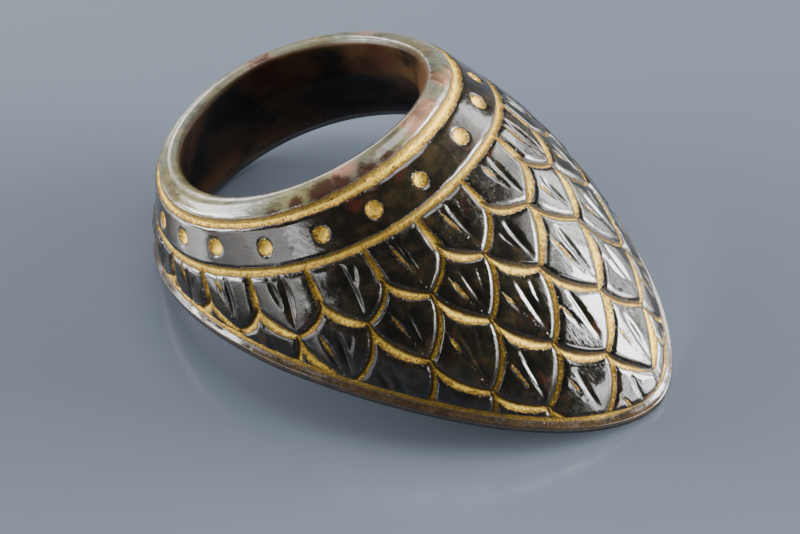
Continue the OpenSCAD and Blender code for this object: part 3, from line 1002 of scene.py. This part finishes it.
def gilded_stone(colours):
    """Dark mottled hardstone with a deep polish, and granular gold in its cuts"""
    finish = Finish("gilded_stone")
    place = finish.add("TexCoord", out="Object")
    gilding, under, thin, wall, red, rose = map(finish.value_of, VALUES)
    drift, clouds, flecks, streaks, veins, patches, grain, fine, swell = (
        finish.noise(place, pattern) for pattern in (
            DRIFTS, CLOUDS, FLECKS, STREAKS, VEINS, PATCHES, GRAIN, FINE_GRAIN, SWELLS))

    # The thick stone, dark with olive and brown clouds and red flecks, and with broad brown drifts
    # on the wall of the hole
    thick = finish.layers(
        colours.stone_dark,
        (colours.stone_olive, (clouds * veins).step(0.18, 0.48)),
        (colours.stone_brown, veins.step(0.46, 0.78) * 0.9),
        (colours.stone_red, flecks.step(0.58, 0.76)),
        (colours.stone_dark, wall),
        (colours.wall_brown, wall * drift.step(0.38, 0.62)))

    # The thin stone, clearer and with ragged stains, and browner where it is less thin
    ragged = (streaks - 0.5) * 1.6 + (grain - 0.5) * 0.7
    clear = finish.layers(
        colours.clear_olive,
        (colours.clear_grey, drift.step(0.4, 0.6)),
        (colours.clear_rose, (rose + ragged).step(0.25, 0.75) * 0.6),
        (colours.clear_brown, streaks.step(0.52, 0.68) * 0.7),
        (colours.clear_brown, thin.step(0.85, 0.55)))
    stone = finish.layers(
        thick,
        (clear, thin * (0.55 + (clouds + veins).step(0.8, 1.1) * 0.45)),
        (colours.stain_red, (red + ragged * 0.8).step(0.3, 0.68) * 0.9))

    # The gold, thick in places and thin in others, with pits, painted light in the middle of each
    # gilded line, painted shade along its edges, under the scales above and on the lines' upper
    # walls, and real dirt in the bottom line
    edge = gilding + (grain - 0.5) * 0.22 + (veins - 0.5) * 0.1
    mask = edge.step(-0.03, 0.03)
    # Painted light: lighter gold towards the middle of each gilded line and deeper gold towards its
    # edges, with random thick and thin patches from the grain
    full = edge * 3.6 + (grain - 0.5) * 3.4 + (patches - 0.5) * 2.4 - 0.3
    pits = (fine * 0.5 + grain * 0.5 + edge * 0.1).step(0.49, 0.38)
    # Painted shade along the edges of the gilding
    edge_shade = (edge + (patches - 0.5) * 0.25).step(0.1, -0.02)
    # Painted shade under the scales above and on the lines' upper walls, with real dirt in the
    # bottom line, in the darkest gold
    shade_and_soil = (under * 0.8 + (grain - 0.5) * 0.8 + (patches - 0.5) * 0.8).step(0.15, 0.8)
    gold = finish.layers(
        colours.gold_deep,
        (colours.gold_light, full.step(0.0, 1.0)),
        (colours.gold_soil, pits * 0.85),
        (colours.gold_soil, edge_shade * 0.7),
        (colours.gold_soil, shade_and_soil))

    # The polish, with fine scratches, duller in the hole, in the painted shade and dirt, and close
    # beside the gold
    hatch = finish.scratches(place, (0.3, 0.5, 0.9)) + finish.scratches(place, (0.9, 0.2, 2.2))
    polish = 0.07 + hatch * 0.09 + patches.step(0.45, 0.75) * 0.05
    beside = edge.step(-0.16, -0.02) * (1 - mask)
    dulled = polish + wall * 0.28 + shade_and_soil * 0.35 + beside * 0.16
    roughness = finish.add("Mix", {0: mask, 2: dulled, 3: 0.6}, {"data_type": "FLOAT"})
    tint = finish.layers(stone, (gold, mask), (colours.dust, grain.step(0.64, 0.7) * beside))

    # The relief of the polished stone, and that of the granular gold on top of it
    stone_bump = finish.add("Bump", {
        "Strength": 1.0, "Distance": 0.01 * MM, "Height": hatch * 0.2 + swell * 2.5})
    bump = finish.add("Bump", {
        "Strength": 1.0, "Distance": 0.1 * MM, "Normal": stone_bump,
        "Height": (grain + fine * 0.6 + gilding.step(-0.02, 0.3) * 0.9) * mask})
    polished = finish.add("BsdfPrincipled", {
        "Base Color": tint, "Roughness": roughness, "Metallic": mask * 0.72, "IOR": 1.55,
        "Normal": bump})
    dull = finish.add("BsdfPrincipled", {
        "Base Color": tint, "Roughness": 1.0, "Specular IOR Level": 0.0})
    shader = finish.add("MixShader", {0: wall * 0.68, 1: polished, 2: dull})
    return finish.end(shader)


def plain_floor(tint):
    """A plain floor with a soft gloss"""
    finish = Finish("pale_floor")
    shader = finish.add("BsdfPrincipled", {
        "Base Color": colour(tint), "Roughness": 0.16})
    return finish.end(shader)


def show(mesh):
    thing = bpy.data.objects.new(mesh.name, mesh)
    bpy.context.scene.collection.objects.link(thing)
    return thing


class RING_OT_stone(bpy.types.Operator):
    """Make the carved ring in the place of its plain solid"""

    bl_idname = "thumb_ring.stone"
    bl_label = "Carved Ring"

    def execute(self, context):
        scene = context.scene
        surface = Surface(scene.ring_form, scene.ring_carving)
        mesh = make_blank(surface)
        carve(mesh, surface)
        mesh.materials.append(gilded_stone(scene.ring_colours))
        ring = show(mesh)
        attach(ring, "root")
        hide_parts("ring")
        return {"FINISHED"}


class RING_OT_stage(bpy.types.Operator):
    """Make the floor, the lights and the camera"""

    bl_idname = "thumb_ring.stage"
    bl_label = "Stage"

    def execute(self, context):
        scene = context.scene
        make_floor(scene.ring_stage)
        make_lights(scene)
        make_camera(scene)
        return {"FINISHED"}


def make_floor(stage):
    sheet = bmesh.new()
    bmesh.ops.create_grid(sheet, x_segments=1, y_segments=1, size=FLOOR_HALF)
    mesh = bpy.data.meshes.new("floor")
    sheet.to_mesh(mesh)
    sheet.free()
    mesh.materials.append(plain_floor(stage.floor_colour))
    show(mesh)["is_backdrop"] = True


def towards(azimuth, elevation):
    """A unit vector from the ring, by angles in degrees: azimuth 0 is along -Y and 90 along +X"""
    a, e = math.radians(azimuth), math.radians(elevation)
    return Vector((math.sin(a) * math.cos(e), -math.cos(a) * math.cos(e), math.sin(e)))


# A soft box: its direction from the ring in degrees, its distance and size in metres, and its power
Box = namedtuple("Box", "name azimuth elevation distance width height power")
BOXES = [
    Box("soft_box_right", 125, 12, 0.6, 0.38, 0.22, 14.0),
    Box("soft_box_far_right", 160, 13, 0.6, 0.2, 0.2, 1.8),
    Box("soft_box_low", 88, 4.5, 0.6, 0.26, 0.1, 1.2),
    Box("right_halo", 134, 21, 0.75, 0.7, 0.34, 3.0),
    Box("soft_box_back", -79, 22, 0.6, 0.34, 0.14, 3.3),
    Box("soft_box_rim", -119, 10, 0.6, 0.13, 0.1, 0.6),
    Box("left_halo", -58, 16, 0.75, 0.32, 0.2, 6.8),
    Box("soft_box_edge", -72, 8, 0.6, 0.16, 0.08, 1.7),
    Box("back_halo", -125, 32, 0.75, 0.8, 0.3, 0.8),
    Box("soft_box_front", -28, 7, 0.6, 0.36, 0.14, 0.7),
    Box("soft_box_small", -9, 15, 0.6, 0.08, 0.12, 0.3),
    Box("soft_box_top", 150, 82, 0.7, 0.4, 0.4, 3.9),
]
# Half the width of the floor, in metres
FLOOR_HALF = 3.0
WORLD_COLOUR = (0.63, 0.64, 0.66)
WORLD_STRENGTH = 0.16


def make_lights(scene):
    for box in BOXES:
        light = bpy.data.lights.new(box.name, "AREA")
        light.shape = "RECTANGLE"
        light.size, light.size_y = box.width, box.height
        light.energy = box.power
        lamp = bpy.data.objects.new(box.name, light)
        scene.collection.objects.link(lamp)
        direction = towards(box.azimuth, box.elevation)
        lamp.location = direction * box.distance
        lamp.rotation_euler = direction.to_track_quat("Z", "Y").to_euler()
    world = bpy.data.worlds.new("studio")
    world.use_nodes = True
    background = world.node_tree.nodes["Background"]
    background.inputs["Color"].default_value = colour(WORLD_COLOUR)
    background.inputs["Strength"].default_value = WORLD_STRENGTH
    scene.world = world


def make_camera(scene):
    stage = scene.ring_stage
    back = towards(math.degrees(stage.azimuth), math.degrees(stage.elevation))
    level = Vector((math.cos(stage.azimuth), math.sin(stage.azimuth), 0))
    up = back.cross(level)
    right = math.cos(stage.roll) * level + math.sin(stage.roll) * up
    head = -math.sin(stage.roll) * level + math.cos(stage.roll) * up
    camera = bpy.data.objects.new("camera", bpy.data.cameras.new("camera"))
    turned = Matrix((right, head, back)).transposed().to_4x4()
    camera.matrix_world = Matrix.Translation(Vector(stage.aim) + back * stage.distance) @ turned
    camera.data.sensor_width = SENSOR
    camera.data.lens = SENSOR * stage.focal_pixels / PHOTO_WIDTH
    scene.collection.objects.link(camera)
    scene.camera = camera


class RING_PT_panel(bpy.types.Panel):
    """The thumb ring's sizes, colours and pieces"""

    bl_idname = "RING_PT_panel"
    bl_label = "Thumb Ring"
    bl_space_type = "VIEW_3D"
    bl_region_type = "UI"
    bl_category = "Thumb Ring"

    def draw(self, context):
        for name, group in GROUPS.items():
            box = self.layout.box()
            box.label(text=group.__doc__)
            for key in group.__annotations__:
                box.prop(getattr(context.scene, name), key)
        for operator in (RING_OT_stage, RING_OT_stone):
            self.layout.operator(operator.bl_idname)


GROUPS = {"ring_form": RingForm, "ring_carving": Carving, "ring_colours": Colours,
          "ring_stage": StageSettings}
CLASSES = (*GROUPS.values(), RING_OT_stone, RING_OT_stage, RING_PT_panel)


def register():
    for item in CLASSES:
        bpy.utils.register_class(item)
    for name, group in GROUPS.items():
        setattr(bpy.types.Scene, name, PointerProperty(type=group))


def unregister():
    for name in GROUPS:
        delattr(bpy.types.Scene, name)
    for item in reversed(CLASSES):
        bpy.utils.unregister_class(item)


def main():
    register()
    bpy.ops.thumb_ring.stage()
    bpy.ops.thumb_ring.stone()
    boxes = {"cad": CAD_BOX, "visual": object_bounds()}
    {k: [list(map(float, corner)) for corner in box] for k, box in boxes.items()}


if __name__ == "__main__":
    main()
